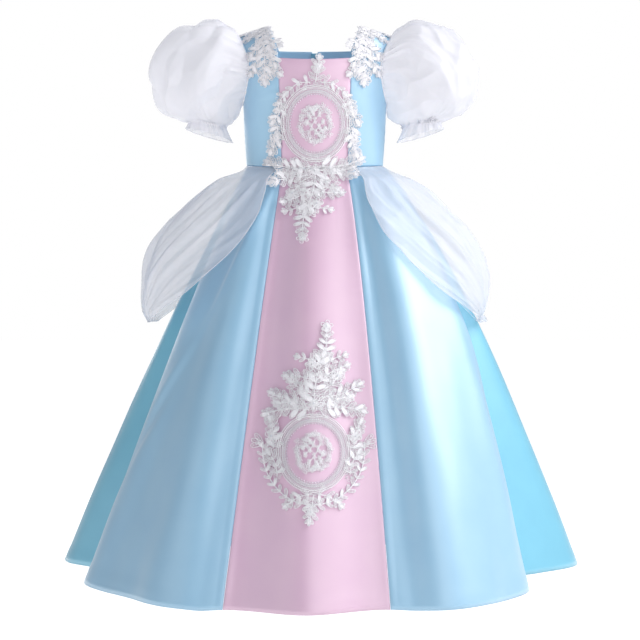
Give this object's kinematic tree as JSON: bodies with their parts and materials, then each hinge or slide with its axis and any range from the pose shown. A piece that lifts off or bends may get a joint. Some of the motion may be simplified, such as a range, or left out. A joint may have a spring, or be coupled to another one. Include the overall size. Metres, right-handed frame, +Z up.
{
  "type": "party dress",
  "caption": "Child's floor-length satin party dress with puff sleeves, sheer hip overskirts, a contrast front panel and lace motifs, filled out as worn.",
  "frame": {"origin": "midway between the two shoulder seams at their neck ends, where the wearer's shoulders carry the dress", "axes": "+Z up, the front faces -Y, +X towards the wearer's left"},
  "size_m": [0.8481, 0.679, 0.8667],
  "materials": {
    "satin_blue": "satin",
    "satin_turquoise": "satin",
    "satin_pink": "satin",
    "organza_white": "sheer",
    "lace_white": "matte",
    "zip_blue": "matte",
    "zip_metal": "enamelled"
  },
  "bodies": {
    "dress": {"bodice_front_centre": "satin_pink", "bodice_front_left": "satin_blue", "bodice_front_right": "satin_blue", "bodice_back_left": "satin_blue", "bodice_back_right": "satin_blue", "skirt_front_centre": "satin_pink", "skirt_front_left": "satin_blue", "skirt_front_right": "satin_blue", "skirt_back_left": "satin_turquoise", "skirt_back_right": "satin_turquoise", "sleeve_left": "organza_white", "sleeve_right": "organza_white", "peplum_left": "organza_white", "peplum_right": "organza_white", "lace_bodice": "lace_white", "lace_skirt": "lace_white", "lace_shoulder_left": "lace_white", "lace_shoulder_right": "lace_white", "zip_chain": "zip_blue", "zip_slider": "zip_metal"},
    "zip_pull": {"zip_pull": "zip_metal"}
  },
  "joints": [
    {"name": "zip_pull_swing", "type": "hinge", "parent": "dress", "child": "zip_pull", "pos_m": [0, 0.06649, -0.03306], "axis": [1, 0, 0], "range_deg": [0, 150]}
  ]
}
